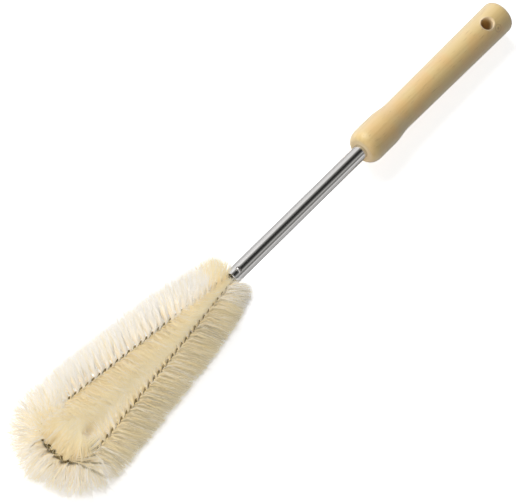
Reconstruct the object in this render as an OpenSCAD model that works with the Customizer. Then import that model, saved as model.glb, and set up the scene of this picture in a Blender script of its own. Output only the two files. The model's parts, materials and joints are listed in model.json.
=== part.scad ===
// Bottle brush, in millimetres. A turned wooden handle carries a steel tube, and the tube grips
// both ends of a twisted-wire brush that is bent into one long loop.
//
// Design frame: the tube's mouth is at the origin, the loop reaches out along +X and lies in the
// XY plane, and the handle is on the -X side. at_rest() then lays the brush on Z = 0.

/* [Handle] */
// Length from the front face to the end
handle_len = 146; // [120:1:170]
// Diameter of the swell behind the front face
swell_d = 23.6; // [22.2:0.1:26]
// Length of the swell before it falls to the neck
swell_len = 21; // [14:1:28]
// Diameter of the neck
neck_d = 20.6; // [17:0.1:22]
// Distance from the front face to the neck
neck_at = 37; // [32:1:50]
// Diameter at the end
end_d = 22.6; // [19:0.1:24]
// Radius of the flat ring around the tube
front_flat_r = 7.6; // [6.5:0.1:8.5]
// How far back the rounded front edge reaches
front_round = 7; // [3:0.5:9]
// Rounding of the end's edge
end_round = 3.6; // [2:0.1:5]
// How far the middle of the end stands out
end_dome = 1.2; // [0.2:0.1:2.5]

/* [Hanging hole] */
// Diameter of the hanging hole
hole_d = 8.4; // [6:0.1:10]
// Distance of the hole's axis from the end of the handle
hole_setback = 19; // [12:0.5:26]
// Width of the countersink around the hole
countersink = 1.1; // [0.4:0.1:1.6]

/* [Tube] */
// Outer diameter of the tube
tube_d = 10; // [9.6:0.1:11]
// Thickness of its wall
tube_wall = 0.7; // [0.5:0.05:0.8]
// Length between the handle and the mouth
tube_visible = 128; // [80:1:180]
// Length inside the handle
tube_in_handle = 36; // [25:1:50]
// Radius of the punch that makes the two dents
dent_r = 2.2; // [1.5:0.1:2.4]
// Distance of the dents from the mouth
dent_setback = 6; // [4:0.5:12]

/* [Twisted core] */
// Diameter of one wire
wire_d = 1.5; // [1.3:0.05:1.6]
// Bristle layer left between the two wires
wire_gap = 0.24; // [0.16:0.02:0.3]
// Length of one full turn of the twist
twist_pitch = 9.6; // [8:0.1:12]
// Length of core inside the tube
stem_len = 26; // [15:1:40]
// Distance between the two cores where they leave the tube
stem_spread = 5; // [4.8:0.05:5.2]

/* [Brush loop] */
// Distance from the mouth to the core at the tip
loop_len = 160; // [120:1:220]
// Angle at which each arm leaves the brush's axis
arm_angle = 5.9; // [5:0.1:7]
// Radius of the core's bends at the two tip corners
tip_bend_r = 13; // [10:0.5:14]
// Radius of the core's slight bend at the mouth
mouth_bend_r = 30; // [20:1:60]

/* [Bristles] */
// Length of a bristle from the core's middle to its tip
bristle_r = 22; // [16:0.5:24]
// Half of the angle that each bristle fan spreads over, around the core
fan_half_angle = 54; // [40:1:60]
// Distance of the first bristles from the mouth
bristle_start = 3; // [2:0.5:10]
// How much shorter the first bristles are than the rest
root_trim = 4; // [0:0.5:6]
// How far the lowest bristles are pressed in where the brush lies on them
press = 1.6; // [0.5:0.1:3]

/* [Hidden] */
$fn = 96;

tube_r = tube_d / 2;
bore_r = tube_r - tube_wall;
end_r = end_d / 2;
hole_r = hole_d / 2;

// --- The rest pose: the handle's end and the first bristles touch Z = 0 ---
handle_foot = tube_visible + handle_len - end_round;
rise = bristle_r - end_r;
slope = atan(rise / handle_foot) - asin(press / norm([rise, handle_foot]));
mouth_height = end_r * cos(slope) + handle_foot * sin(slope);
back_reach = (tube_visible + handle_len + end_dome) * cos(slope);
tip_reach = loop_len * cos(slope) + bristle_r;

module at_rest() {
    translate([(back_reach - tip_reach) / 2, 0, mouth_height])
        rotate([0, -slope, 0])
            children();
}

// --- The handle ---
function arc(centre, radii, from, to, steps) =
    [for (i = [0 : steps])
        let (a = from + (to - from) * i / steps)
            [centre[0] + radii[0] * cos(a), centre[1] + radii[1] * sin(a)]];

// Radius of the grip at a distance back from the front face, between its two rounded ends.
function grip_r(back) =
    back < swell_len ? swell_d / 2
    : back < neck_at
        ? neck_d / 2 + (swell_d - neck_d) / 4 * (1 + cos(180 * (back - swell_len) / (neck_at - swell_len)))
        : neck_d / 2 + (end_d - neck_d) / 2 * (back - neck_at) / (handle_len - neck_at);

front_steps = 8;
grip_steps = 22;
end_steps = 5;
end_turn = 60;
dome_steps = 4;
dome_r = end_r - end_round;

handle_outline = concat(
    [[0, 0]],
    arc([front_flat_r, front_round], [swell_d / 2 - front_flat_r, front_round], -90, 0, front_steps),
    [for (i = [1 : grip_steps]) let (back = swell_len + (neck_at - swell_len) * i / grip_steps)
        [grip_r(back), back]],
    arc([dome_r, handle_len - end_round], [end_round, end_round], 0, end_turn, end_steps),
    [for (i = [dome_steps - 1 : -1 : 0]) let (r = dome_r * i / dome_steps)
        [r, handle_len + end_dome * (1 - pow(r / dome_r, 2))]]
);

module handle() {
    hole_x = -(tube_visible + handle_len - hole_setback);
    sink_h = grip_r(handle_len - hole_setback);
    overshoot = 1;
    color("burlywood") at_rest() difference() {
        translate([-tube_visible, 0, 0]) rotate([0, -90, 0]) rotate_extrude() polygon(handle_outline);
        translate([-tube_visible - tube_in_handle, 0, 0]) rotate([0, 90, 0])
            cylinder(r = tube_r, h = tube_in_handle + overshoot);
        translate([hole_x, 0, 0]) {
            cylinder(r = hole_r, h = 2 * swell_d, center = true);
            for (side = [0, 1]) mirror([0, 0, side]) translate([0, 0, sink_h - countersink])
                cylinder(r1 = hole_r, r2 = hole_r + 2 * countersink, h = 2 * countersink);
        }
    }
}

// --- The tube ---
edge_break = 0.2;
tube_outline = [
    [bore_r, 0], [tube_r, 0],
    [tube_r, tube_in_handle + tube_visible - edge_break],
    [tube_r - edge_break, tube_in_handle + tube_visible],
    [bore_r, tube_in_handle + tube_visible]
];

// The punch presses the wall in until it meets both cores. The lip at the mouth stays round.
lip = 1;
core_r = wire_gap / 2 + wire_d;
punch_height = sqrt(pow(dent_r + tube_wall + core_r, 2) - pow(stem_spread / 2, 2));

module punches(r) {
    for (side = [-1, 1]) translate([-dent_setback, 0, side * punch_height]) sphere(r = r);
}

module tube() {
    color("silver") at_rest() difference() {
        union() {
            translate([-tube_visible - tube_in_handle, 0, 0]) rotate([0, 90, 0])
                rotate_extrude() polygon(tube_outline);
            intersection() {
                punches(dent_r + tube_wall);
                translate([-2 * dent_setback, 0, 0]) rotate([0, 90, 0])
                    cylinder(r = tube_r - tube_wall / 2, h = 2 * dent_setback - lip);
            }
        }
        punches(dent_r);
    }
}

// --- The loop of the core: straight and round stretches, each a length and a turn to the left ---
arm_len = (loop_len - mouth_bend_r * sin(arm_angle) - tip_bend_r * (1 + sin(arm_angle))) / cos(arm_angle);
tip_half = stem_spread / 2 + mouth_bend_r * (1 - cos(arm_angle)) + arm_len * sin(arm_angle)
    - tip_bend_r * cos(arm_angle);
mouth_arc = mouth_bend_r * arm_angle * PI / 180;
tip_arc = tip_bend_r * (90 + arm_angle) * PI / 180;

half_loop = [
    [stem_len, 0], [mouth_arc, arm_angle], [arm_len, 0], [tip_arc, -90 - arm_angle], [tip_half, 0]
];
half_len = stem_len + mouth_arc + arm_len + tip_arc + tip_half;
bend_from = stem_len + mouth_arc + arm_len;
bend_to = bend_from + tip_arc;

// Place and heading [x, y, angle] after a distance along the first half, which starts in the tube.
function along_half(d, i = 0, at = [-stem_len, stem_spread / 2, 0]) =
    let (len = half_loop[i][0], turn = half_loop[i][1])
    d > len && i < len(half_loop) - 1
        ? along_half(d - len, i + 1, step(at, len, turn))
        : step(at, d, turn * d / len);

function step(at, d, turn) =
    turn == 0
        ? [at[0] + d * cos(at[2]), at[1] + d * sin(at[2]), at[2]]
        : let (r = d / (turn * PI / 180))
            [at[0] + r * (sin(at[2] + turn) - sin(at[2])),
             at[1] - r * (cos(at[2] + turn) - cos(at[2])), at[2] + turn];

// The second half is the first one's mirror image, run backwards.
function along_loop(d) =
    d <= half_len ? along_half(d)
    : let (at = along_half(2 * half_len - d)) [at[0], -at[1], -180 - at[2]];

// --- Twisted sweeps: a section in the twist's own axes is carried along the loop and turned ---
rings_per_turn = 9;
ring_count = round(2 * half_len / twist_pitch * rings_per_turn);
ring_step = 2 * half_len / ring_count;
twist_step = 360 / rings_per_turn;
first_bristle = ceil((stem_len + bristle_start) / ring_step);

// Where the floor is, in the design frame, below a place along X.
function floor_z(x) = -(mouth_height + x * sin(slope)) / cos(slope);

function turned(p, a) = [p[0] * cos(a) - p[1] * sin(a), p[0] * sin(a) + p[1] * cos(a)];

// Sets a section's points, each [inwards, up] from the core's axis, on ring k of the loop.
function placed(k, points) =
    let (at = along_loop(k * ring_step))
    [for (p = points) let (x = at[0] + p[0] * sin(at[2]))
        [x, at[1] - p[0] * cos(at[2]), max(p[1], floor_z(x))]];

// Joins rings of n points into one closed solid. caps lists the end faces by point number. A side
// is split along its forward diagonal, or along the backward one from the points in backward.
module skin(rings, caps, backward = []) {
    n = len(rings[0]);
    last = len(rings) - 1;
    sides = [for (k = [0 : last - 1], j = [0 : n - 1])
        let (a = k * n + j, b = k * n + (j + 1) % n, split_back = len(search(j, backward)) > 0)
            each split_back ? [[a, b, a + n], [b, b + n, a + n]] : [[a, b, b + n], [a, b + n, a + n]]];
    starts = [for (cap = caps) [for (i = [len(cap) - 1 : -1 : 0]) cap[i]]];
    ends = [for (cap = caps) [for (j = cap) last * n + j]];
    polyhedron(points = [for (r = rings) each r], faces = concat(sides, starts, ends), convexity = 20);
}

// --- The two core wires ---
// A round wire crosses the section at a slant, so its section there is wider than it is high.
wire_sides = 6;
wire_offset = (wire_d + wire_gap) / 2;
wire_slant = atan(2 * PI * wire_offset / twist_pitch);

module core_wire(side) {
    section = arc([0, side * wire_offset], [wire_d / 2 / cos(wire_slant), wire_d / 2], 0,
                  360 * (1 - 1 / wire_sides), wire_sides - 1);
    rings = [for (k = [0 : ring_count]) placed(k, [for (p = section) turned(p, k * twist_step)])];
    around = [for (i = [0 : wire_sides - 1]) i];
    at_rest() skin(rings, [around], around);
}

module core_wire_a() { color("gray") core_wire(1); }
module core_wire_b() { color("gray") core_wire(-1); }

// --- The bristles: two opposite fans leave the core between its wires and turn with the twist ---
web = 0.06;
fan_root = [1.05, 0.35];
fan_angles = [-1, -1 / 3, 1 / 3, 1] * fan_half_angle;
fan_caps = [[0, 1, 6, 7, 8, 13], [1, 2, 3, 4, 5, 6], [8, 9, 10, 11, 12, 13]];
fan_outside = [2, 3, 4, 9, 10, 11];

// How far the bristles can reach inwards before they meet those of the other arm or the tip.
seam = 0.4;
no_limit = 1000;
bisector = tan(45 - arm_angle / 2);
function inward_limit(d) =
    let (near = min(d, 2 * half_len - d), at = along_half(near),
         to_bend = max(0, bend_from - near, near - bend_to),
         to_other_arm = near < bend_from ? at[1] / cos(at[2]) : no_limit)
    min(to_other_arm, tip_bend_r + bisector * to_bend) - seam;

// The outer points of one fan. Those that would pass the inward limit stop on it at their own
// height, or where they would lean too far round the core and leave no room for the wires.
least_lean = 44;
upright = 89;
function fan(middle, r, limit) =
    let (m = middle - 360 * round(middle / 360))
    [for (a = fan_angles)
        let (w = r * cos(m + a), h = r * sin(m + a), lean = least_lean + abs(a) / 3,
             low = limit * tan(max(m - lean, -upright)), high = limit * tan(min(m + lean, upright)))
        w <= limit ? [w, h] : [limit, min(max(h, low), high)]];

function bristle_section(middle, r, limit) = concat(
    [turned([0, -web], middle), turned([fan_root[0], -fan_root[1]], middle)],
    fan(middle, r, limit),
    [turned(fan_root, middle), turned([0, web], middle), turned([-fan_root[0], fan_root[1]], middle)],
    fan(middle + 180, r, limit),
    [turned(-fan_root, middle)]
);

// The first bristles are trimmed shorter, which rounds the back of the head.
trim_len = 8;
function trimmed_r(d) =
    let (in = min(d, 2 * half_len - d) - stem_len - bristle_start)
    bristle_r - root_trim * pow(max(0, 1 - in / trim_len), 2);

module bristles() {
    rings = [for (k = [first_bristle : ring_count - first_bristle]) let (d = k * ring_step)
        placed(k, bristle_section(k * twist_step, trimmed_r(d), inward_limit(d)))];
    color("cornsilk") at_rest() skin(rings, fan_caps, fan_outside);
}

handle();
tube();
core_wire_a();
core_wire_b();
bristles();
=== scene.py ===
"""Bottle brush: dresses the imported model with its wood, steel, twisted wires and bristles."""

import json
import math

import bpy
import numpy as np
from bpy.props import FloatProperty, FloatVectorProperty, IntProperty, PointerProperty
from mathutils import Matrix, Vector


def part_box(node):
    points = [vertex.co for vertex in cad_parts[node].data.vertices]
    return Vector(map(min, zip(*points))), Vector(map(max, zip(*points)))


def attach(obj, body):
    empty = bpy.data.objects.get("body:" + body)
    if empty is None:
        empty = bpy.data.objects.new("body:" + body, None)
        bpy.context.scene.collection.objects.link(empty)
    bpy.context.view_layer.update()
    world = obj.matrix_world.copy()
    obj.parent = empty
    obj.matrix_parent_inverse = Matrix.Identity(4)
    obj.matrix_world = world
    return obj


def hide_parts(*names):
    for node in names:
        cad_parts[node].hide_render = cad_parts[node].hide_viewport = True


bl_info = {
    "name": "Bottle Brush",
    "version": (1, 0, 0),
    "blender": (4, 5, 0),
    "location": "3D View > Sidebar > Brush",
    "description": "Dresses a bottle brush: wooden handle, steel tube, twisted core wires and bristles",
    "category": "Object",
}

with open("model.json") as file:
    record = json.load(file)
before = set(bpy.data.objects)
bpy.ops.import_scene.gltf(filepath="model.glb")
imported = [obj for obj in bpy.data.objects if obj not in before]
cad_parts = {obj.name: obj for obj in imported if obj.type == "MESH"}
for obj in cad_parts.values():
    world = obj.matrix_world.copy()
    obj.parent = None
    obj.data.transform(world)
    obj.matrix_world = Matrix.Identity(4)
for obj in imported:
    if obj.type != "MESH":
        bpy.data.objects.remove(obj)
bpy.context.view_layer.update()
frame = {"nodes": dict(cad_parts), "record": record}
BODY = "root"
TUBE_LOW, TUBE_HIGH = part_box("tube")
HOLE = frame["record"]["mounts"][0]


def length(name, description, default, **more):
    return FloatProperty(name=name, description=description, default=default, min=0.0,
                         subtype="DISTANCE", unit="LENGTH", precision=5, **more)


def angle(name, description, degrees):
    return FloatProperty(name=name, description=description, default=math.radians(degrees),
                         subtype="ANGLE", unit="ROTATION")


def colour(name, description, default):
    return FloatVectorProperty(name=name, description=description, default=default, size=3,
                               min=0.0, max=1.0, subtype="COLOR")


def amount(name, description, default, low=0.0, high=1.0):
    return FloatProperty(name=name, description=description, default=default, min=low, max=high)


def whole(name, description, default, low=0, high=1000):
    return IntProperty(name=name, description=description, default=default, min=low, max=high)


# ---- Settings and fixed values ----


class BrushLoopSizes(bpy.types.PropertyGroup):
    """The long loop of twisted core"""

    wire_d: length("Wire", "Diameter of one core wire", 0.0015)
    wire_gap: length("Gap", "Bristle layer between the two wires", 0.00024)
    twist_pitch: length("Twist pitch", "Length of one full turn of the twist", 0.0096)
    stem_len: length("Stem", "Length of core inside the tube", 0.026)
    stem_spread: length("Stem spread", "Distance between the two cores at the mouth", 0.005)
    loop_len: length("Loop", "Distance from the mouth to the core at the tip", 0.160)
    arm_angle: angle("Arm angle", "Angle at which each arm leaves the brush's axis", 5.9)
    tip_bend: length("Tip bend", "Radius of the core's bends at the tip corners", 0.013)
    mouth_bend: length("Mouth bend", "Radius of the core's slight bend at the mouth", 0.030)
    points_per_turn: whole("Points a turn", "Steps of the wire's curve in one turn", 24, low=8, high=64)


class BristleSizes(bpy.types.PropertyGroup):
    """How the bristles stand on the core"""

    reach: length("Length", "Length of a bristle from the core's middle to its tip", 0.022)
    start: length("Start", "Distance of the first bristles from the mouth", 0.003)
    thickness: length("Thickness", "Diameter of a bristle near its root", 0.00026)
    count: whole("Count", "Number of bristles", 52000, low=1000, high=60000)
    fan_spread: angle("Fan spread", "How far bristles stray from the row that the twist gives them", 88)
    lean: angle("Lean", "How far the bristles lean back towards the handle", 12)
    open_arm: angle("Opening", "How far the bristles of one row open out along an arm", 8)
    open_tip: angle("Tip opening", "How far the bristles of one row open out round the tip", 11)
    lock_spread: angle("Lock spread", "How far small locks of bristles stray together", 1.4)
    stray: angle("Stray", "How far single bristles stray from their lock", 1.8)
    parting: angle("Parting", "How far bristles part along the core on the upper side", 30)
    bend_over: angle("Bend over", "How far the parted bristles bend over towards their tips", 40)
    shine_bend: amount("Soft shading", "How far the shading turns towards the hair's tip", 0.08, high=3.0)
    shine_up: amount("Raised shading", "How far the shading turns upwards", 0.5, high=3.0)
    seed: whole("Seed", "Seed of the bristles' scatter", 7)


class BristleFinish(bpy.types.PropertyGroup):
    """Colours of the bristles"""

    # Partly the hair's own tone and partly painted: warmer near the core, for light bounced deep among
    # the bristles.
    root: colour("Root", "Colour near the core", (0.96, 0.80, 0.48))
    tip: colour("Tip", "Colour at the tips", (0.99, 0.965, 0.93))
    warm: colour("Warm", "Colour of the warmer bristles", (1.0, 0.87, 0.55))
    roughness: amount("Roughness", "Roughness of the hair", 0.42)
    through: amount("Light through", "Share of the lamps' light that passes through one bristle", 0.94)


class WoodFinish(bpy.types.PropertyGroup):
    """Colours of the wooden handle"""

    pale: colour("Pale wood", "Colour of the pale wood", (0.88, 0.655, 0.30))
    dark: colour("Dark grain", "Colour of the darker grain", (0.78, 0.53, 0.205))
    amber: colour("Warm patches", "Colour of the wood's broad warm patches", (0.90, 0.58, 0.24))
    pore: colour("Fleck", "Colour of the short flecks", (0.58, 0.37, 0.17))
    # Painted reflection: share of a pale colour mixed into the wood where the handle is seen at a slant.
    painted_reflection: amount("Bloom", "Share of the pale bloom where the handle is seen at a slant", 0.3)
    raw: colour("Raw wood", "Colour of the bare wood round the hole", (0.95, 0.73, 0.43))
    # Partly the cut wood's own colour and partly painted shade, which the hole's wall takes on deep in
    # the hole.
    cut_wood_and_shade: colour("Cut wood", "Colour of the wood deep in the hole", (0.58, 0.40, 0.10))
    varnish: amount("Varnish", "Strength of the varnish", 0.2)
    sheen: amount("Sheen", "Strength of the soft pale sheen at the handle's edges", 0.8)
    roughness: amount("Roughness", "Roughness of the wood", 0.48)


class MetalFinish(bpy.types.PropertyGroup):
    """Colours of the steel tube and of the core wires"""

    steel: colour("Tube steel", "Colour of the polished tube", (0.665, 0.650, 0.640))
    steel_roughness: amount("Tube roughness", "Roughness of the polished tube", 0.16)
    zinc: colour("Wire", "Colour of the galvanised wires", (0.28, 0.235, 0.13))
    tarnish: colour("Wire tarnish", "Colour of the wires where they have dulled", (0.13, 0.105, 0.05))
    zinc_roughness: amount("Wire roughness", "Roughness of the wires", 0.55)


class StudioSetup(bpy.types.PropertyGroup):
    """The stage's light and the camera"""

    floor: colour("Floor", "Colour of the floor", (0.90, 0.90, 0.90))
    glow: amount("Floor glow", "White that the camera sees on the floor on top of its light", 0.74)
    sky: amount("Sky", "Strength of the even light from all round", 0.12, high=5.0)
    key_power: amount("Key power", "Watts of the main lamp", 34.0, high=1000.0)
    fill_power: amount("Fill power", "Watts of the fill lamp", 1.0, high=1000.0)
    tip_power: amount("Tip power", "Watts of the lamp beyond the tip", 5.0, high=1000.0)
    view_azimuth: angle("Azimuth", "Direction that the camera looks from", 16.72)
    view_elevation: angle("Elevation", "Height that the camera looks from", 62.48)
    view_roll: angle("Roll", "Turn of the camera about its own line of sight", 26.52)
    view_distance: length("Distance", "Distance of the camera", 1.8265)
    lens: amount("Lens", "Focal length in millimetres", 209.0, low=1.0, high=1000.0)
    diffuse_bounces: whole("Diffuse bounces", "Bounces of light from one hair to the next", 24)
    bounces: whole("Bounces", "Bounces of light in all", 28)
    clear_bounces: whole("Clear bounces", "Bristles that lamp light passes through at most", 48)


GROUPS = {"brush_loop": BrushLoopSizes, "brush_bristles": BristleSizes, "brush_hair": BristleFinish,
          "brush_wood": WoodFinish, "brush_metal": MetalFinish, "brush_studio": StudioSetup}

# Round the hanging hole: where the raw wood ends and has faded out, the skin that counts as the
# hole's wall, and the heights from which and to which that wall turns into dark cut wood, partly the
# cut wood's own colour and partly painted shade that deepens into the hole.
RAW_WOOD = (0.0009, 0.0014)
HOLE_WALL = (0.0001, 0.0003)
HOLE_SHADE_HEIGHTS = (0.0095, 0.0060)
# The knot: its place from the hole's middle, and from where to where its edges fade.
KNOT_FROM_HOLE = (-0.0041, 0.0067, 0.0088)
KNOT_EDGES = {"heart": (0.0003, 0.0013), "inside": (0.0018, 0.0024), "outside": (0.0025, 0.0031)}

# The bristles' map: its name, its columns and rows, and the first row of each kind of hair. The
# dim and dark rows are painted shade, for the shadowed gaps between strands.
BRISTLE_MAP = "OFBake"
CELLS = (64, 8)
DIM_ROW, DARK_ROW, WARM_ROW, PALE_ROW = 0, 1, 2, 4

# A third of a turn, which is one side of a bristle.
THIRD = 2 * math.pi / 3
# The side that the parting faces, in the brush's own axes.
PARTING_FACES = (0.44, 0.13, 0.89)
# How strongly the bristles part, by the distance from the loop's middle. Below zero they close.
PARTING = ((-0.172, 0.35), (-0.150, 0.8), (-0.130, 1.0), (-0.045, 1.0), (-0.034, 0.9), (-0.014, 1.0),
           (-0.012, 1.2), (0.006, 1.2), (0.009, 0.2), (0.012, -0.6), (0.026, -0.6),
           (0.040, 1.0), (0.115, 1.0), (0.135, 0.4), (0.172, 0.2))
# Shares of the full length, by the distance from the mouth.
LENGTHS = ((0.0, 0.74), (0.013, 0.82), (0.032, 0.94), (0.064, 1.0), (0.130, 1.01), (0.160, 1.03))
# The barest stretch of core: its middle from the loop's middle, where it ends and is covered again,
# how far its roots sink, and the angles to which its rows are drawn up, by the angles of the twist.
BARE_MIDDLE = -0.001
BARE_ENDS = (0.007, 0.010)
BARE_SINK = 0.0034
ROWS_OF_TWIST = (0.0, 1.1, 1.5708)
ROWS_DRAWN_UP = (0.0, 0.85, 1.5708)
# Width along the core and angle round it of one small lock, and width of one strand.
LOCK_WIDTH, LOCK_ANGLE, STRAND_WIDTH = 0.0009, 0.35, 0.00068
# The swept lock: the core before the loop's middle that it takes hair from, where its parts meet,
# how many they are, their length, and the first and further angle at which they lie.
SWEPT_FROM = (0.0135, 0.0082)
SWEPT_ROOT = (0.0090, 0.0104)
SWEPT_PARTS = 13
SWEPT_LENGTH = 0.0265
SWEPT_FIRST, SWEPT_FAN, SWEPT_BOW = math.radians(8), math.radians(74), math.radians(26)
# Bristles start this far from the core's middle, bend with this softness where they are held, stay
# under this height over the core, and start to lie flat at these heights over the floor.
ROOT_R, SOFTNESS, HIGHEST = 0.0005, 0.0012, 0.0165
LOWEST, LOWEST_SPREAD, LOWEST_POINT = 0.0002, 0.0009, 0.00005
# Length over which an arm turns into the tip.
TIP_FADE = 0.012
# How far towards the other arm the bristles of the back and front arms end, and at most at the tip.
CROSSING_BACK, CROSSING_FRONT, CROSSING_TIP = (0.6, 1.0), (0.12, 0.42), 0.98
# Unevenness of the frayed ends on the lit arm and elsewhere, and how much longer lit ones are.
FRAY_LIT, FRAY_ELSEWHERE, FRAY_LONGER = 0.10, 0.045, 0.06
# Length of core behind the mouth where the outside is paler or warmer than elsewhere.
NEAR_MOUTH = 0.045
# Shares of warm hair: outside, more of it at the tip and near the mouth, and between the arms. The
# many warm ones between the arms are partly painted light, for the warm light bounced between them.
WARM_OUTSIDE, WARM_AT_TIP, WARM_NEAR_MOUTH, WARM_FRONT, WARM_BACK = 0.12, 0.16, 0.6, 0.6, 0.9

WHITE = (1.0, 1.0, 1.0, 1.0)
# Painted reflection: the pale colour that the wood's colour is mixed towards where the handle is seen at
# a slant, for what varnished wood reflects there.
PAINTED_REFLECTION = (1.0, 0.93, 0.80, 1.0)
# Name, place and size of the lamps, and the setting with their power. All of them aim at the origin.
LAMPS = (("key_lamp", (-0.10, -1.45, 1.30), 1.3, "key_power"),
         ("fill_lamp", (0.9, 1.3, 1.2), 1.4, "fill_power"),
         ("tip_lamp", (1.25, 0.25, 0.45), 0.7, "tip_power"))
CAMERA_AIM = (0.0162, -0.0012, 0.0121)
FLOOR_SIZE = 8.0
# Place, size and greys across its width of the studio's dark cloth.
CLOTH_PLACE = (-0.90, 1.55, 1.0)
CLOTH_SIZE = (2.6, 5.0, 1.0)
DARK_CLOTH = ((0.0, 0.85), (0.046, 0.50), (0.106, 0.14), (0.172, 0.02), (0.218, 0.03), (0.277, 0.15),
              (0.33, 0.62), (0.37, 0.55), (0.44, 0.25), (0.55, 0.22), (0.67, 0.25), (0.80, 0.45),
              (1.0, 0.50))


# ---- Shared helpers ----


def rest_place():
    """The matrix from the brush's own axes, mouth at the origin and tip along +X, to where it lies."""
    up = Vector(HOLE["axis"])
    along = Vector((up.z, 0.0, -up.x))
    at = Vector(HOLE["pos_m"])
    tube_r = (TUBE_HIGH.y - TUBE_LOW.y) / 2
    mouth = at + along * ((TUBE_HIGH.x - tube_r * abs(up.x) - at.x) / along.x)
    return Matrix(((along.x, 0.0, up.x, mouth.x), (0.0, 1.0, 0.0, mouth.y),
                   (along.z, 0.0, up.z, mouth.z), (0.0, 0.0, 0.0, 1.0)))


def clear_selection():
    if bpy.context.object and bpy.context.object.mode != "OBJECT":
        bpy.ops.object.mode_set(mode="OBJECT")
    bpy.ops.object.select_all(action="DESELECT")


def start_piece(name):
    """Names the object that an add operator has just made."""
    piece = bpy.context.object
    piece.name = name
    piece.data.name = name
    return piece


def finish_piece(piece, material, replaced):
    piece.data.materials.clear()
    piece.data.materials.append(material)
    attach(piece, BODY)
    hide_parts(*replaced)


class Loop:
    """The core's path from the tube, round the tip and back, in the brush's own axes."""

    def __init__(self, sizes):
        a = sizes.arm_angle
        arm = (sizes.loop_len - sizes.mouth_bend * math.sin(a)
               - sizes.tip_bend * (1 + math.sin(a))) / math.cos(a)
        tip_half = (sizes.stem_spread / 2 + sizes.mouth_bend * (1 - math.cos(a)) + arm * math.sin(a)
                    - sizes.tip_bend * math.cos(a))
        self.stretches = [(sizes.stem_len, 0.0), (sizes.mouth_bend * a, a), (arm, 0.0),
                          (sizes.tip_bend * (math.pi / 2 + a), -math.pi / 2 - a), (tip_half, 0.0)]
        self.half = sum(run for run, _ in self.stretches)
        self.bend_from = sizes.stem_len + sizes.mouth_bend * a + arm
        self.bend_to = self.half - tip_half
        self.start = (-sizes.stem_len, sizes.stem_spread / 2, 0.0)
        self.pitch = sizes.twist_pitch
        self.tip_bend = sizes.tip_bend
        self.bisector = math.tan(math.pi / 4 - a / 2)

    def near(self, d):
        """Distance from the nearer end of the core."""
        return np.minimum(d, 2 * self.half - d)

    def half_place(self, d):
        x, y, heading = (np.full_like(d, value) for value in self.start)
        done = 0.0
        for i, (run, turn) in enumerate(self.stretches):
            last = i == len(self.stretches) - 1
            go = np.clip(d - done, 0.0, None if last else run)
            if turn == 0.0:
                x, y = x + go * np.cos(heading), y + go * np.sin(heading)
            else:
                r = run / turn
                x = x + r * (np.sin(heading + go / r) - np.sin(heading))
                y = y - r * (np.cos(heading + go / r) - np.cos(heading))
                heading = heading + go / r
            done += run
        return x, y, heading

    def place(self, d):
        """Place and heading of the core after a distance along it."""
        x, y, heading = self.half_place(self.near(d))
        back = d > self.half
        return x, np.where(back, -y, y), np.where(back, -math.pi - heading, heading)

    def twist(self, d):
        return 2 * math.pi * d / self.pitch

    def room_inwards(self, d):
        """How far bristles reach inwards through those of the other arm before they meet its core."""
        near = self.near(d)
        _, y, heading = self.half_place(near)
        to_bend = np.maximum(0.0, np.maximum(self.bend_from - near, near - self.bend_to))
        to_arm = np.where(near < self.bend_from, 2 * y / np.cos(heading), 1.0)
        return np.minimum(to_arm, self.tip_bend + self.bisector * to_bend * 2)


def unit(vectors):
    return vectors / np.maximum(np.linalg.norm(vectors, axis=-1, keepdims=True), 1e-9)


def triangle_mesh(name, points, triangles, uv):
    mesh = bpy.data.meshes.new(name)
    mesh.vertices.add(len(points))
    mesh.vertices.foreach_set("co", np.ascontiguousarray(points, dtype=np.float32).ravel())
    mesh.loops.add(triangles.size)
    mesh.loops.foreach_set("vertex_index", triangles.astype(np.int32).ravel())
    mesh.polygons.add(len(triangles))
    mesh.polygons.foreach_set("loop_start", np.arange(0, triangles.size, 3, dtype=np.int32))
    mesh.polygons.foreach_set("loop_total", np.full(len(triangles), 3, dtype=np.int32))
    layer = mesh.uv_layers.new(name=BRISTLE_MAP)
    layer.uv.foreach_set("vector", np.ascontiguousarray(uv, dtype=np.float32).ravel())
    mesh.update(calc_edges=True)
    mesh.validate()
    return mesh


# ---- Materials ----


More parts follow.
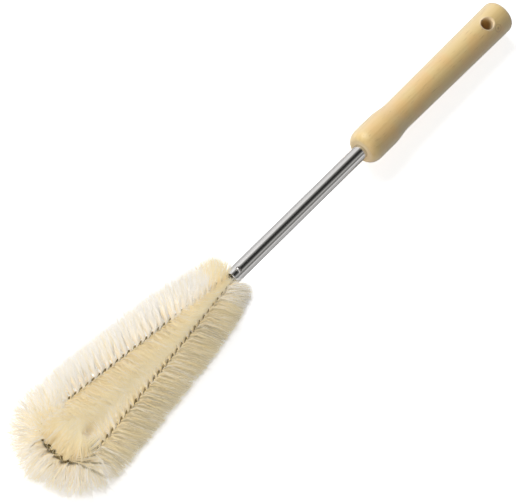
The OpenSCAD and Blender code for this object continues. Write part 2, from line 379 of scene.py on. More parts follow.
class NodeTree:
    """Adds nodes to a material, a world or a group, and joins them up."""

    def __init__(self, tree):
        self.nodes, self.links = tree.nodes, tree.links

    def feed(self, socket, value):
        """Links an output to an input, or gives the input a value."""
        if isinstance(value, bpy.types.NodeSocket):
            self.links.new(value, socket)
        else:
            socket.default_value = value

    def set(self, node, inputs):
        for key, value in inputs.items():
            self.feed(node.inputs[key], value)

    def add(self, kind, inputs=None, **settings):
        node = self.nodes.new(kind)
        for key, value in settings.items():
            setattr(node, key, value)
        self.set(node, inputs or {})
        return node

    def math(self, operation, *values):
        return self.add("ShaderNodeMath", dict(enumerate(values)), operation=operation).outputs[0]

    def mix(self, factor, a, b, blend="MIX"):
        """Mixes two colours, which are a Mix node's inputs 6 and 7 and its output 2."""
        inputs = {0: factor, 6: a, 7: b}
        return self.add("ShaderNodeMix", inputs, data_type="RGBA", blend_type=blend).outputs[2]

    def range(self, value, low=0.0, high=1.0, to_low=0.0, to_high=1.0):
        inputs = {"Value": value, "From Min": low, "From Max": high, "To Min": to_low, "To Max": to_high}
        return self.add("ShaderNodeMapRange", inputs).outputs[0]

    def noise(self, at, scale, detail, roughness=0.5):
        inputs = {"Vector": at, "Scale": scale, "Detail": detail, "Roughness": roughness}
        return self.add("ShaderNodeTexNoise", inputs).outputs["Fac"]

    def near(self, at, centre, full, none):
        """A mask that is 1 nearer to a point than full and 0 further than none."""
        far = self.add("ShaderNodeVectorMath", {0: at, 1: centre}, operation="DISTANCE")
        return self.range(far.outputs["Value"], full, none, 1.0, 0.0)

    def bump(self, height, strength, distance):
        inputs = {"Height": height, "Strength": strength, "Distance": distance}
        return self.add("ShaderNodeBump", inputs).outputs[0]


def new_material(name):
    material = bpy.data.materials.new(name)
    material.use_nodes = True
    tree = NodeTree(material.node_tree)
    return material, tree, tree.nodes["Principled BSDF"]


def rgba(c):
    return (*c, 1.0)


def streak_group():
    """Fine streaks along one direction, for wood grain and for the tube's drawing lines."""
    group = bpy.data.node_groups.get("Fine Streaks")
    if group:
        return group
    group = bpy.data.node_groups.new("Fine Streaks", "ShaderNodeTree")
    face = group.interface
    face.new_socket("Vector", in_out="INPUT", socket_type="NodeSocketVector")
    inputs = {"Scale Along": 20.0, "Scale Across": 900.0, "Detail": 4.0, "Sharpness": 1.0}
    for name, value in inputs.items():
        face.new_socket(name, in_out="INPUT", socket_type="NodeSocketFloat").default_value = value
    for name in ("Streaks", "Clouds"):
        face.new_socket(name, in_out="OUTPUT", socket_type="NodeSocketFloat")
    tree = NodeTree(group)
    entry, leave = tree.add("NodeGroupInput"), tree.add("NodeGroupOutput")
    along, across = entry.outputs["Scale Along"], entry.outputs["Scale Across"]
    scale = tree.add("ShaderNodeCombineXYZ", {0: along, 1: across, 2: across}).outputs[0]
    factors = {0: entry.outputs["Vector"], 1: scale}
    stretched = tree.add("ShaderNodeVectorMath", factors, operation="MULTIPLY").outputs[0]
    fine = tree.noise(stretched, 1.0, entry.outputs["Detail"], 0.6)
    sharp = tree.math("MULTIPLY", tree.math("SUBTRACT", fine, 0.5), entry.outputs["Sharpness"])
    broad = tree.noise(stretched, 0.12, 2.0)
    tree.set(leave, {"Streaks": tree.math("ADD", sharp, 0.5), "Clouds": broad})
    return group


def add_streaks(tree, vector, along, across, sharpness, detail=4.0):
    inputs = {"Vector": vector, "Scale Along": along, "Scale Across": across, "Detail": detail,
              "Sharpness": sharpness}
    return tree.add("ShaderNodeGroup", inputs, node_tree=streak_group()).outputs


def brush_coordinates(tree):
    """Object coordinates turned and moved to the brush's own axes, mouth at the origin."""
    back = rest_place().inverted()
    at = tree.add("ShaderNodeTexCoord").outputs["Object"]
    inputs = {"Vector": at, "Rotation": back.to_euler(), "Location": back.translation}
    return tree.add("ShaderNodeMapping", inputs).outputs[0]


def wood_material(look):
    material, tree, shader = new_material("handle_beech")
    at = brush_coordinates(tree)
    x, y, z = tree.add("ShaderNodeSeparateXYZ", {0: at}).outputs
    grain = add_streaks(tree, at, 9.0, 420.0, 1.6)
    fleck = add_streaks(tree, at, 130.0, 1500.0, 5.0, detail=1.0)
    streaks = tree.math("MULTIPLY_ADD", grain["Streaks"], 0.45, -0.22)
    tone = tree.math("MULTIPLY_ADD", grain["Clouds"], 0.75, streaks)
    wood = tree.mix(tree.range(tone, 0.30, 0.72), rgba(look.pale), rgba(look.dark))
    patches = tree.range(tree.noise(at, 62.0, 1.0), 0.46, 0.62, to_high=0.58)
    spots = tree.range(fleck["Streaks"], 1.25, 1.75, to_high=0.55)
    hole_at = rest_place().inverted() @ Vector(HOLE["pos_m"])
    hole_r = HOLE["dims"]["r_mm"] / 1000
    knot_at = hole_at + Vector(KNOT_FROM_HOLE)
    heart, inside, outside = (tree.near(at, knot_at, *KNOT_EDGES[edge]) for edge in KNOT_EDGES)
    ring = tree.math("SUBTRACT", outside, inside)
    knot = tree.math("MULTIPLY_ADD", ring, 0.5, tree.math("MULTIPLY", heart, 0.85))
    level = tree.add("ShaderNodeCombineXYZ", {0: x, 1: y}).outputs[0]
    raw, wall = (tree.near(level, (hole_at.x, hole_at.y, 0.0), hole_r + full, hole_r + none)
                 for full, none in (RAW_WOOD, HOLE_WALL))
    # Painted shade, partly the cut wood's own colour: the hole's wall darkens towards the middle of the
    # hole.
    deep = tree.math("MULTIPLY", wall, tree.range(tree.math("ABSOLUTE", z), *HOLE_SHADE_HEIGHTS))
    for mask, shade in ((patches, look.amber), (spots, look.pore), (knot, look.pore), (raw, look.raw),
                        (deep, look.cut_wood_and_shade)):
        wood = tree.mix(mask, wood, rgba(shade))
    # Painted reflection: seen at a slant, the wood's colour is mixed towards a pale tone, for the varnish
    # taking on the pale surroundings.
    slant = tree.add("ShaderNodeLayerWeight").outputs["Facing"]
    wood = tree.mix(tree.range(slant, 0.2, 0.65, to_high=look.painted_reflection), wood, PAINTED_REFLECTION)
    tree.set(shader, {"Base Color": wood, "Roughness": look.roughness, "Coat Weight": look.varnish,
                      "Coat Roughness": 0.25, "Sheen Weight": look.sheen, "Sheen Roughness": 0.35,
                      "Specular IOR Level": 0.4, "Normal": tree.bump(grain["Streaks"], 0.12, 0.0002)})
    return material


def steel_material(look):
    material, tree, shader = new_material("tube_polished_steel")
    lines = add_streaks(tree, brush_coordinates(tree), 6.0, 2600.0, 1.0, detail=2.0)
    dull, bright = (tuple(min(1.0, c * share) for c in look.steel) for share in (0.93, 1.07))
    rough = look.steel_roughness
    tree.set(shader, {"Metallic": 1.0, "Base Color": tree.mix(lines["Streaks"], rgba(dull), rgba(bright)),
                      "Roughness": tree.range(lines["Clouds"], to_low=rough * 0.8, to_high=rough * 1.25),
                      "Normal": tree.bump(lines["Streaks"], 0.05, 0.00005)})
    return material


def wire_material(look):
    material, tree, shader = new_material("core_galvanised_wire")
    cloud = tree.noise(tree.add("ShaderNodeTexCoord").outputs["Object"], 700.0, 3.0)
    tint = tree.mix(tree.range(cloud, 0.35, 0.65), rgba(look.zinc), rgba(look.tarnish))
    rough = look.zinc_roughness
    tree.set(shader, {"Metallic": 0.85, "Base Color": tint,
                      "Roughness": tree.range(cloud, to_low=rough * 0.8, to_high=rough * 1.3),
                      "Normal": tree.bump(cloud, 0.3, 0.00008)})
    return material


def bristle_material(look):
    """Each cell of the bristles' map is one shade of hair, and runs from root to tip."""
    material, tree, shader = new_material("bristle_hair")
    uv = tree.add("ShaderNodeUVMap", uv_map=BRISTLE_MAP).outputs[0]
    u, v, _ = tree.add("ShaderNodeSeparateXYZ", {0: uv}).outputs
    column = tree.math("FLOOR", tree.math("MULTIPLY", u, CELLS[0]))
    rows = tree.math("MULTIPLY", v, CELLS[1])
    row, along = tree.math("FLOOR", rows), tree.math("FRACT", rows)
    cell = tree.add("ShaderNodeCombineXYZ", {0: column, 1: row}).outputs[0]
    chance = tree.add("ShaderNodeTexWhiteNoise", {"Vector": cell}, noise_dimensions="2D")
    hue, depth, _ = tree.add("ShaderNodeSeparateColor", {0: chance.outputs["Color"]}).outputs
    pale = tree.math("GREATER_THAN", row, PALE_ROW - 0.5)
    warmth = tree.math("MULTIPLY_ADD", pale, -0.8, tree.math("MULTIPLY_ADD", hue, 0.2, 0.8))
    hair = tree.mix(warmth, rgba(look.tip), rgba(look.warm))
    # Partly painted: near the core the hair turns to the warmer root colour, for light bounced deep among
    # the bristles.
    root = tree.mix(tree.math("MULTIPLY", pale, 0.6), rgba(look.root), rgba(look.tip))
    hair = tree.mix(tree.range(along, 0.05, 0.60), root, hair)
    # The rows of uneven strands are dimmer, the dark one most, as painted shade for the shadowed gaps
    # between strands, and all hair is darker at its root, as painted shade where the roots lie between
    # the wires.
    uneven = tree.math("LESS_THAN", row, WARM_ROW - 0.5)
    dark = tree.math("MULTIPLY", uneven, tree.math("GREATER_THAN", row, DARK_ROW - 0.5))
    dimmest = tree.math("MULTIPLY_ADD", uneven, -0.30, tree.math("MULTIPLY_ADD", dark, -0.25, 0.95))
    brightest = tree.math("MULTIPLY_ADD", uneven, -0.15, tree.math("MULTIPLY_ADD", dark, -0.20, 1.0))
    shade = tree.math("MULTIPLY", tree.range(depth, to_low=dimmest, to_high=brightest),
                      tree.range(along, 0.08, 0.15, to_low=0.5))
    grey = tree.add("ShaderNodeCombineColor", {0: shade, 1: shade, 2: shade}).outputs[0]
    # Hair lets the lamps' light through to the bristles behind it.
    shadow = tree.add("ShaderNodeLightPath").outputs["Is Shadow Ray"]
    passed = tree.math("MULTIPLY", shadow, look.through)
    tree.set(shader, {"Base Color": tree.mix(1.0, hair, grey, "MULTIPLY"), "Roughness": look.roughness,
                      "Specular IOR Level": 0.6, "Alpha": tree.math("SUBTRACT", 1.0, passed)})
    return material


# ---- Pieces ----


class BRUSH_OT_handle(bpy.types.Operator):
    """Gives the turned handle its beech and varnish"""

    bl_idname = "brush.handle"
    bl_label = "Wooden Handle"

    def execute(self, context):
        wood = wood_material(context.scene.brush_wood)
        frame["nodes"]["handle"].material_slots[0].material = wood
        return {"FINISHED"}


class BRUSH_OT_tube(bpy.types.Operator):
    """Gives the tube its polished steel"""

    bl_idname = "brush.tube"
    bl_label = "Steel Tube"

    def execute(self, context):
        steel = steel_material(context.scene.brush_metal)
        frame["nodes"]["tube"].material_slots[0].material = steel
        return {"FINISHED"}


class BRUSH_OT_core_wires(bpy.types.Operator):
    """Twists the two round core wires round each other along the loop"""

    bl_idname = "brush.core_wires"
    bl_label = "Twisted Core Wires"

    def execute(self, context):
        sizes = context.scene.brush_loop
        loop = Loop(sizes)
        material = wire_material(context.scene.brush_metal)
        for side, node in ((1, "core_wire_a"), (-1, "core_wire_b")):
            self.wire(sizes, loop, side, node, material)
        return {"FINISHED"}

    def wire(self, sizes, loop, side, node, material):
        clear_selection()
        steps = int(round(2 * loop.half / sizes.twist_pitch * sizes.points_per_turn))
        d = np.linspace(0.0, 2 * loop.half, steps + 1)
        x, y, heading = loop.place(d)
        turn = loop.twist(d) + side * math.pi / 2
        offset = (sizes.wire_d + sizes.wire_gap) / 2
        inward, up = offset * np.cos(turn), offset * np.sin(turn)
        points = np.column_stack((x + inward * np.sin(heading), y - inward * np.cos(heading), up))
        bpy.ops.curve.primitive_nurbs_path_add(location=(0, 0, 0))
        piece = start_piece(node.replace("core_", "round_core_"))
        curve = piece.data
        curve.splines.clear()
        spline = curve.splines.new("POLY")
        spline.points.add(len(points) - 1)
        spline.points.foreach_set("co", np.column_stack((points, np.ones(len(points)))).ravel())
        curve.dimensions = "3D"
        curve.bevel_depth = sizes.wire_d / 2
        curve.bevel_resolution = 3
        curve.use_fill_caps = True
        bpy.ops.object.convert(target="MESH")
        piece = bpy.context.object
        piece.data.transform(rest_place())
        bpy.ops.object.mode_set(mode="EDIT")
        bpy.ops.mesh.select_all(action="SELECT")
        bpy.ops.mesh.remove_doubles(threshold=1e-6)
        bpy.ops.mesh.normals_make_consistent(inside=False)
        bpy.ops.object.mode_set(mode="OBJECT")
        bpy.ops.object.shade_smooth_by_angle(angle=math.radians(50))
        finish_piece(piece, material, (node,))


class Hair:
    """The bristles of one piece: where each is rooted, how it grows and its cell of the map.

    The random draws follow one another in a fixed order, so each step is made once and in turn.
    """

    def __init__(self, sizes, loop, d, rng):
        self.sizes, self.loop, self.rng, self.n = sizes, loop, rng, len(d)
        self.root(d)
        self.gather()
        self.aim()
        self.part()
        self.trim()
        self.sweep()

    def root(self, d):
        """Where the bristles leave the core, in which of its two rows, and on which side they are."""
        loop, rng = self.loop, self.rng
        self.from_mouth, _, heading = loop.place(d)
        face_x, face_y, face_z = PARTING_FACES
        comb = np.arctan2(face_z, face_x * np.sin(heading) - face_y * np.cos(heading))
        self.bare = np.interp(np.abs(d - loop.half - BARE_MIDDLE), BARE_ENDS, (1.0, 0.0))
        high = (loop.twist(d) - comb + math.pi / 2) % math.pi - math.pi / 2
        closer = np.sign(high) * np.interp(np.abs(high), ROWS_OF_TWIST, ROWS_DRAWN_UP) - high
        self.d = d + self.bare * closer / (loop.twist(1.0) - loop.twist(0.0))
        self.near = loop.near(self.d)
        self.round_tip = np.clip((self.near - loop.bend_from + TIP_FADE / 2) / TIP_FADE, 0.0, 1.0)
        self.which = rng.integers(0, 2, self.n)
        self.spread = self.sizes.fan_spread * rng.uniform(-1.0, 1.0, self.n) * (1.0 + 0.15 * self.bare)
        self.row = loop.twist(self.d) + math.pi * self.which
        self.start = (self.row + self.spread - comb + math.pi) % (2 * math.pi) - math.pi
        # Between the arms or outside, on the arm nearer to the key lamp or on the shaded one.
        self.inner = self.start < 0
        self.back_arm = self.d > loop.half
        self.lit = ~self.inner & self.back_arm
        self.shaded = ~self.inner & (self.d < loop.half) & (self.round_tip < 0.5)

    def gather(self):
        """Small locks of neighbours stray together, and on the shaded side whole strands do."""
        rng, d = self.rng, self.d
        # One number for each lock's place along the core, row and angle round the core.
        lock = (np.floor(d / LOCK_WIDTH).astype(int) * 31 + self.which * 7
                + np.floor((self.spread / LOCK_ANGLE) + 20).astype(int) * 131)
        lock_ids, lock = np.unique(lock, return_inverse=True)
        locks = len(lock_ids)
        self.lock_lean = rng.normal(0.0, self.sizes.lock_spread, locks)[lock]
        self.lock_turn = rng.normal(0.0, self.sizes.lock_spread, locks)[lock]
        self.lock_curl = rng.normal(0.0, 0.05, locks)[lock]
        self.lock_shade = rng.integers(0, CELLS[0] * CELLS[1], locks)[lock]
        # Two draws a lock, of which the second only keeps the later draws in step.
        self.lock_chance = rng.random((2, locks))[0, lock]
        strand_at = d / STRAND_WIDTH + 0.4 * np.sin(d / 0.0011) + 0.5 * np.sin(d / 0.0031)
        self.strand_number = np.floor(strand_at)
        strand_ids, strand = np.unique(self.strand_number, return_inverse=True)
        strands = len(strand_ids)
        lean = rng.normal(0.0, 0.8, strands)[strand]
        self.strand_lean = np.radians(lean + 2.5 * np.sin(d / 0.0052) + 2.0 * np.sin(d / 0.0023 + 1.0))
        self.strand_shade = rng.integers(0, CELLS[0], strands)[strand]
        self.strand_chance = rng.random(strands)[strand]

    def aim(self):
        """How the bristles lean along the core, turn round it and curl."""
        sizes, loop, rng, n = self.sizes, self.loop, self.rng, self.n
        opening = sizes.open_arm + (sizes.open_tip - sizes.open_arm) * self.round_tip
        stray = rng.normal(0.0, sizes.stray, n)
        lean = stray + self.lock_lean + opening * rng.uniform(-1.0, 1.0, n)
        self.turn = rng.normal(0.0, sizes.stray, n) + self.lock_turn
        self.curl = rng.normal(0.0, 0.04, n) + self.lock_curl
        lean = np.where(self.shaded, 0.45 * stray + self.strand_lean + 0.12 * (lean - stray), lean)
        self.lean = np.where(self.inner & (self.d < loop.half), 1.8 * lean, lean)
        # Leaning back towards the handle, and less so round the tip.
        on_arm = np.clip((loop.bend_from - self.near) / 0.02, 0.0, 1.0)
        self.towards = np.where(self.d < loop.half, -1.0, 1.0) * on_arm

    def part(self):
        """How far bristles near the side that the parting faces stand apart, and bend over."""
        sizes, off = self.sizes, np.abs(self.start)
        self.room = self.loop.room_inwards(self.d) + 0.010 * self.round_tip
        strength = np.interp(self.d - self.loop.half, *zip(*PARTING))
        self.apart = sizes.parting * strength * np.clip(1.0 - off / 1.05, 0.0, 1.0)
        over = np.where(self.inner, np.interp(self.room, (0.010, 0.030), (0.9, 0.35)), 1.0)
        over = over * sizes.bend_over * np.maximum(strength, 0.0)
        self.over = over * np.clip(1.0 - off / 1.4, 0.0, 1.0)

    def trim(self):
        """Lengths: shorter behind the mouth, and uneven at the ends."""
        rng, n, round_tip, off = self.rng, self.n, self.round_tip, np.abs(self.start)
        places, shares = zip(*LENGTHS)
        long = np.interp(self.from_mouth, places, np.array(shares) * self.sizes.reach)
        long = long * (1.0 - np.abs(rng.normal(0.0, 0.055, n))) + rng.normal(0.0, 0.0004, n)
        wisps = (rng.random(n) < 0.22) * np.maximum(round_tip, 0.35 * self.back_arm)
        long = long * (1.0 + wisps * np.abs(rng.normal(0.0, 0.13, n)))
        # Outside, the ends fray out, most on the lit arm and round the tip.
        unevenness = np.where(self.lit, FRAY_LIT, FRAY_ELSEWHERE)
        fray = rng.normal(FRAY_LONGER * round_tip * self.lit, unevenness, n)
        long = np.where(self.inner, long, long * (1.0 + fray))
        # Between the arms, the bristles end at different places on the way to the other arm.
        back, front = rng.uniform(*CROSSING_BACK, n), rng.uniform(*CROSSING_FRONT, n)
        crossing = np.where(self.back_arm, back, front)
        crossing = crossing + (CROSSING_TIP - crossing) * round_tip * rng.uniform(0.5, 1.0, n)
        reach_in = self.room * crossing / np.clip(np.sin(off + self.apart + self.over), 0.6, 1.0)
        over_gap = np.interp(self.room, (0.022, 0.034), (0.0, 0.3))
        longer = np.where(self.back_arm, over_gap, 0.25 * round_tip)
        long = np.where(self.inner, long * (1.0 + longer), long)
        held = np.minimum(long, np.maximum(reach_in, 0.3 * long))
        self.long = np.where(self.inner & (off < 1.7), held, long)

    def sweep(self):
        """One lock beside the tip lies over the corner, fanned out from a single place of the core."""
        loop, rng, n = self.loop, self.rng, self.n
        first, last = SWEPT_FROM
        in_lock = (self.d > loop.half - first) & (self.d < loop.half - last)
        self.swept = in_lock & (np.abs(self.start) < 1.2) & (rng.random(n) < 0.65)
        self.swept_part = rng.integers(0, SWEPT_PARTS, n)
        self.fanned = (self.swept_part + 0.5) / SWEPT_PARTS + rng.normal(0.0, 0.010, n)
        self.swept_x, self.swept_y, _ = loop.place(loop.half - rng.uniform(*SWEPT_ROOT, n))

    def standing_point(self, t):
        """Where the standing bristles are at a share of their length, in the brush's own axes."""
        way = np.sign(self.start)
        r = ROOT_R + (self.long - ROOT_R) * t
        a = (self.row + self.spread * (1.0 - (1.0 - t) ** 2.6) + self.turn * t + self.curl * t * t
             + way * self.apart * (1.0 - (1.0 - t) ** 4))
        a = a + way * self.over * t ** 1.7
        back = np.tan(self.sizes.lean * (0.8 + 0.5 * t)) * self.towards
        axial = r * (back + np.tan(self.lean) * (0.5 + 0.5 * t)) + self.curl * 0.5 * r * t
        x, y, heading = self.loop.place(self.d + axial)
        inward, up = r * np.cos(a), r * np.sin(a)
        up = up - BARE_SINK * self.bare * (1.0 - t) ** 1.5
        # Held before the other arm's core, they rise instead, and none stands too high.
        held = -SOFTNESS * np.logaddexp(-inward / SOFTNESS, -0.94 * self.room / SOFTNESS)
        up = np.where(inward > 0, np.sign(up) * np.sqrt(np.maximum(r * r - held * held, up * up)), up)
        up = -SOFTNESS * np.logaddexp(-up / SOFTNESS, -HIGHEST / SOFTNESS)
        return np.column_stack((x + held * np.sin(heading), y - held * np.cos(heading), up))

    def swept_point(self, t):
        """Where the bristles of the swept lock are at a share of their length."""
        away = SWEPT_FIRST + SWEPT_FAN * self.fanned + SWEPT_BOW * t * np.sin(math.pi * self.fanned)
        run = SWEPT_LENGTH * (1.0 - 0.30 * self.fanned ** 2) * (1.0 - 0.3 * self.lock_chance ** 2) * t
        arch = 0.0045 + 0.0016 * (self.swept_part % 2) + 0.004 * self.fanned
        rise = 0.0018 + arch * (1.0 - (1.0 - t) ** 2) + 0.3 * self.curl * run
        x, y = self.swept_x - run * np.sin(away), self.swept_y + run * np.cos(away)
        return np.column_stack((x, y, rise))

    def path(self, steps):
        """Centre lines where the brush lies, as points at each step from root to tip."""
        swept = self.swept[:, None]
        points = [np.where(swept, self.swept_point(t), self.standing_point(t)) for t in steps]
        path = np.stack(points, axis=1)
        place = np.array(rest_place())
        path = path @ place[:3, :3].T + place[:3, 3]
        floor = LOWEST + LOWEST_SPREAD * self.rng.random(self.n)[:, None]
        path[:, :, 2] = np.maximum(path[:, :, 2], floor)
        return path

    def cells(self):
        """Column and row of each bristle's cell of the map."""
        rng, n = self.rng, self.n
        near_mouth = self.near < NEAR_MOUTH
        outside = WARM_OUTSIDE + WARM_AT_TIP * self.round_tip + WARM_NEAR_MOUTH * (self.lit & near_mouth)
        # Partly painted: most hair between the arms is warm, for the warm light bounced between them.
        between = np.where((self.d < self.loop.half) & (self.round_tip < 0.5), WARM_FRONT, WARM_BACK)
        warm = rng.random(n) < np.where(self.inner, between, outside)
        column = np.where(self.shaded, self.strand_shade, rng.integers(0, CELLS[0], n))
        row = np.where(warm, WARM_ROW + self.lock_shade % 2, PALE_ROW + self.lock_shade % 4)
        # Painted shade: on the shaded arm every other strand is dim, some dark, for the shadowed gaps
        # between strands.
        dim = np.where(self.strand_chance < 0.15, DARK_ROW, DIM_ROW)
        # Painted shade: the shaded arm's other strands are mostly warm where most hair outside is pale, a
        # darker, warmer tone for the arm turned from the key lamp.
        plain = np.where(rng.random(n) < 0.75, WARM_ROW, PALE_ROW + 1)
        row = np.where(self.shaded, np.where(self.strand_number % 2 < 1, dim, plain), row)
        row = np.where(self.shaded & near_mouth & (rng.random(n) < 0.6), PALE_ROW + 1, row)
        # Painted shade: every other part of the swept lock is dark, for the shadowed gaps between its
        # parts.
        plain = np.where(rng.random(n) < 0.8, WARM_ROW, PALE_ROW + 1)
        return column, np.where(self.swept, np.where(self.swept_part % 2 == 0, DARK_ROW, plain), row)


class BRUSH_OT_bristles(bpy.types.Operator):
    """Models one bristle and sets it tens of thousands of times round the core"""

    bl_idname = "brush.bristles"
    bl_label = "Bristles"

    # Heights of a bristle's rings with its tip, as shares of its length, and the rings' widths.
    steps = (0.0, 0.33, 0.68, 1.0)
    widths = (1.0, 0.92, 0.72)
    # Where each piece starts and ends, as shares of the core.
    cuts = (0.0, 0.21, 0.42, 0.58, 0.79, 1.0)
    names = ("bristles_right_back", "bristles_right_front", "bristles_tip",
             "bristles_left_front", "bristles_left_back")

    def execute(self, context):
        sizes = context.scene.brush_bristles
        loop = Loop(context.scene.brush_loop)
        material = bristle_material(context.scene.brush_hair)
        model = self.model_bristle()
        rng = np.random.default_rng(sizes.seed)
        first = context.scene.brush_loop.stem_len + sizes.start
        whole_way = 2 * (loop.half - first)
        for low, high, name in zip(self.cuts, self.cuts[1:], self.names):
            count = int(sizes.count * (high - low))
            share = low + (high - low) * (np.arange(count) + rng.random(count)) / count
            hair = Hair(sizes, loop, first + whole_way * share, rng)
            self.build(name, sizes, hair.path(self.steps), hair.cells(), model, material, rng)
        return {"FINISHED"}

    def model_bristle(self):
        """One bristle along +Z, one long and one wide: points, triangles and the side each is on."""
        clear_selection()
        bpy.ops.mesh.primitive_cone_add(vertices=3, radius1=0.5, depth=1.0, location=(0, 0, 0.5))
        piece = start_piece("one_bristle")
        bpy.ops.object.transform_apply()
        bpy.ops.object.mode_set(mode="EDIT")
        for height in self.steps[1:-1]:
            bpy.ops.mesh.select_all(action="SELECT")
            bpy.ops.mesh.bisect(plane_co=(0, 0, height), plane_no=(0, 0, 1))
        bpy.ops.mesh.select_all(action="SELECT")
        bpy.ops.mesh.quads_convert_to_tris()
        bpy.ops.object.mode_set(mode="OBJECT")
        mesh = piece.data
        for point in mesh.vertices:
            if point.co.z < 0.99:
                ring = min(range(3), key=lambda i: abs(self.steps[i] - point.co.z))
                wide = 0.5 * self.widths[ring] / math.hypot(point.co.x, point.co.y)
                point.co.x *= wide
                point.co.y *= wide
        points = np.array([v.co for v in mesh.vertices])
        triangles = np.array([p.vertices for p in mesh.polygons])
        if len(triangles) != 16:
            raise RuntimeError(f"one bristle has {len(triangles)} triangles")
        side = np.full(len(triangles), -1)
        for i, tri in enumerate(triangles):
            here = points[tri]
            if here[:, 2].max() - here[:, 2].min() > 0.01:
                middle = here[here[:, 2] < 0.99].mean(axis=0)
                around = math.atan2(middle[1], middle[0]) % (2 * math.pi)
                side[i] = int(((around - 0.02) % (2 * math.pi)) / THIRD)
        bpy.data.objects.remove(piece)
        return points, triangles, side

    def build(self, name, sizes, path, cells, model, material, rng):
        """Sets the model bristle along every path and makes one mesh of them."""
        hair, triangles, _ = model
        n = len(path)
        ring = np.array([min(range(4), key=lambda i: abs(self.steps[i] - z)) for z in hair[:, 2]])
        ahead = np.empty_like(path)
        ahead[:, 1:-1] = path[:, 2:] - path[:, :-2]
        ahead[:, 0] = path[:, 1] - path[:, 0]
        ahead[:, -1] = path[:, -1] - path[:, -2]
        ahead = unit(ahead)
        across = unit(np.cross(ahead, rng.normal(0.0, 1.0, (n, 1, 3))))
        other = np.cross(ahead, across)
        thick = sizes.thickness * rng.uniform(0.75, 1.15, (n, 1, 1))
        sideways = hair[None, :, 0:1] * across[:, ring] + hair[None, :, 1:2] * other[:, ring]
        points = path[:, ring] + thick * sideways
        points[:, :, 2] = np.maximum(points[:, :, 2], LOWEST_POINT)
        faces = (triangles[None] + (np.arange(n) * len(hair))[:, None, None]).reshape(-1, 3)
        mesh = triangle_mesh(name, points.reshape(-1, 3), faces, self.map_bristles(cells, *model))
        piece = bpy.data.objects.new(name, mesh)
        bpy.context.scene.collection.objects.link(piece)
        mesh.shade_smooth()
        upwards = sizes.shine_up * np.array((0.0, 0.0, 1.0))
        normals = unit(unit(sideways) + sizes.shine_bend * ahead[:, ring] + upwards)
        mesh.normals_split_custom_set_from_vertices(normals.reshape(-1, 3).astype(np.float32))
        finish_piece(piece, material, ("bristles",))

    def map_bristles(self, cells, hair, triangles, side):
        """Puts each bristle in one cell of the map, its three sides next to each other, root below."""
        column, row = cells
        n = len(column)
        u, v = np.zeros((2, len(triangles), 3))
        for i, tri in enumerate(triangles):
            here = hair[tri]
            if side[i] < 0:
                u[i], v[i] = (0.2, 0.8, 0.5), (0.02, 0.02, 0.06)
                continue
            start = side[i] * THIRD
            around = (np.arctan2(here[:, 1], here[:, 0]) - start) % (2 * math.pi) / THIRD
            around = np.where(around > 1.5, 0.0, np.clip(around, 0.0, 1.0))
            around = np.where(here[:, 2] > 0.99, 0.5, around)
            u[i] = 0.08 + 0.84 * (side[i] + around) / 3
            v[i] = 0.08 + 0.84 * here[:, 2]
        uv = np.empty((n, len(triangles), 3, 2))
        uv[..., 0] = (column[:, None, None] + u[None]) / CELLS[0]
        uv[..., 1] = (row[:, None, None] + v[None]) / CELLS[1]
        return uv.reshape(-1, 2)


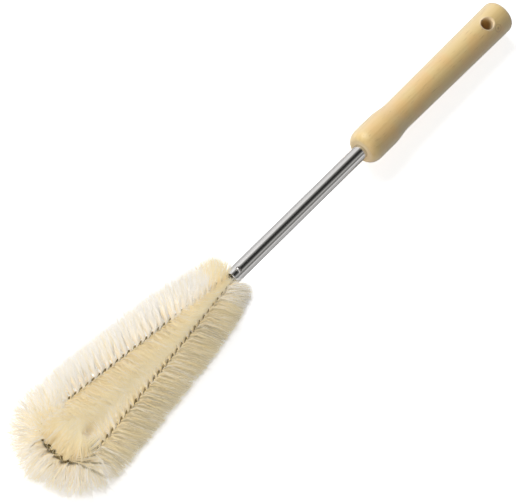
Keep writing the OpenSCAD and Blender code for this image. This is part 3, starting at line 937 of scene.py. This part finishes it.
class BRUSH_OT_studio(bpy.types.Operator):
    """Sets the floor, the lamps, the surroundings and the camera"""

    bl_idname = "brush.studio"
    bl_label = "Studio"

    def execute(self, context):
        setup = context.scene.brush_studio
        context.scene.view_settings.view_transform = "Standard"
        cycles = context.scene.cycles
        cycles.diffuse_bounces = setup.diffuse_bounces
        cycles.max_bounces = setup.bounces
        cycles.transparent_max_bounces = setup.clear_bounces
        self.floor(setup)
        self.world(context, setup)
        for name, place, size, power in LAMPS:
            self.lamp(name, place, size, getattr(setup, power))
        self.card()
        self.camera(context, setup)
        return {"FINISHED"}

    def floor(self, setup):
        clear_selection()
        bpy.ops.mesh.primitive_plane_add(size=FLOOR_SIZE, location=(0, 0, 0))
        floor = start_piece("studio_floor")
        material, tree, shader = new_material("studio_paper")
        tree.set(shader, {"Base Color": rgba(setup.floor), "Roughness": 0.9, "Specular IOR Level": 0.0})
        paper = shader.outputs[0]
        glow = tree.add("ShaderNodeEmission", {"Color": WHITE, "Strength": setup.glow}).outputs[0]
        glowing = tree.add("ShaderNodeAddShader", {0: paper, 1: glow}).outputs[0]
        sight = tree.add("ShaderNodeLightPath").outputs["Is Camera Ray"]
        seen = tree.add("ShaderNodeMixShader", {0: sight, 1: paper, 2: glowing}).outputs[0]
        output = next(n for n in tree.nodes if n.type == "OUTPUT_MATERIAL")
        tree.set(output, {"Surface": seen})
        floor.data.materials.append(material)

    def card(self):
        """A cloth above the brush that only shows as the dark stripes in polished metal."""
        clear_selection()
        bpy.ops.mesh.primitive_plane_add(size=1.0, location=CLOTH_PLACE)
        card = start_piece("studio_dark_card")
        card.scale = CLOTH_SIZE
        material, tree, shader = new_material("studio_dark_cloth")
        at = tree.add("ShaderNodeTexCoord").outputs["Object"]
        across = tree.add("ShaderNodeSeparateXYZ", {0: at}).outputs["Y"]
        ramp = tree.add("ShaderNodeValToRGB", {0: tree.math("ADD", across, 0.5)})
        stripes = ramp.color_ramp.elements
        for place, grey in DARK_CLOTH:
            stripe = stripes.new(place) if 0.0 < place < 1.0 else stripes[int(place)]
            stripe.color = (grey, grey, grey * 0.97, 1.0)
        tree.set(shader, {"Base Color": (0, 0, 0, 1), "Specular IOR Level": 0.0, "Emission Strength": 1.0,
                          "Emission Color": ramp.outputs[0]})
        card.data.materials.append(material)
        card.visible_camera = card.visible_diffuse = card.visible_shadow = False
        card.visible_transmission = card.visible_volume_scatter = False

    def world(self, context, setup):
        """White where the camera and polished metal look, and an even faint light elsewhere."""
        world = bpy.data.worlds.new("studio_white")
        context.scene.world = world
        world.use_nodes = True
        tree = NodeTree(world.node_tree)
        sight = tree.add("ShaderNodeLightPath").outputs
        seen = tree.math("MAXIMUM", sight["Is Camera Ray"], sight["Is Glossy Ray"])
        strength = tree.math("MULTIPLY_ADD", seen, 1.0 - setup.sky, setup.sky)
        tree.set(tree.nodes["Background"], {"Color": WHITE, "Strength": strength})

    def lamp(self, name, place, size, power):
        clear_selection()
        bpy.ops.object.light_add(type="AREA", location=place)
        lamp = start_piece(name)
        lamp.data.size = size
        lamp.data.energy = power
        lamp.rotation_euler = (-Vector(place)).to_track_quat("-Z", "Y").to_euler()

    def camera(self, context, setup):
        az, el, roll = setup.view_azimuth, setup.view_elevation, setup.view_roll
        back = Vector((math.cos(el) * math.cos(az), math.cos(el) * math.sin(az), math.sin(el)))
        level = Vector((-math.sin(az), math.cos(az), 0.0))
        over = back.cross(level)
        right = level * math.cos(roll) + over * math.sin(roll)
        up = over * math.cos(roll) - level * math.sin(roll)
        data = bpy.data.cameras.new("studio_camera")
        camera = bpy.data.objects.new("studio_camera", data)
        context.scene.collection.objects.link(camera)
        turn = Matrix((right, up, back)).transposed().to_4x4()
        camera.matrix_world = Matrix.Translation(Vector(CAMERA_AIM) + back * setup.view_distance) @ turn
        data.lens = setup.lens
        data.sensor_width = 36.0
        context.scene.camera = camera


class VIEW3D_PT_bottle_brush(bpy.types.Panel):
    """Lists the brush's pieces and their sizes"""

    bl_idname = "VIEW3D_PT_bottle_brush"
    bl_label = "Bottle Brush"
    bl_space_type = "VIEW_3D"
    bl_region_type = "UI"
    bl_category = "Brush"

    def draw(self, context):
        layout = self.layout
        for operator in OPERATORS:
            layout.operator(operator.bl_idname)
        for name, group in GROUPS.items():
            box = layout.box()
            box.label(text=name.replace("brush_", "").capitalize())
            for key in group.__annotations__:
                box.prop(getattr(context.scene, name), key)


OPERATORS = (BRUSH_OT_studio, BRUSH_OT_core_wires, BRUSH_OT_bristles, BRUSH_OT_tube, BRUSH_OT_handle)
CLASSES = (*GROUPS.values(), *OPERATORS, VIEW3D_PT_bottle_brush)


def register():
    for cls in CLASSES:
        bpy.utils.register_class(cls)
    for name, group in GROUPS.items():
        setattr(bpy.types.Scene, name, PointerProperty(type=group))


def unregister():
    for name in GROUPS:
        delattr(bpy.types.Scene, name)
    for cls in reversed(CLASSES):
        bpy.utils.unregister_class(cls)


def main():
    register()
    bpy.ops.brush.studio()
    bpy.ops.brush.core_wires()
    bpy.ops.brush.bristles()
    bpy.ops.brush.tube()
    bpy.ops.brush.handle()


if __name__ == "__main__":
    main()
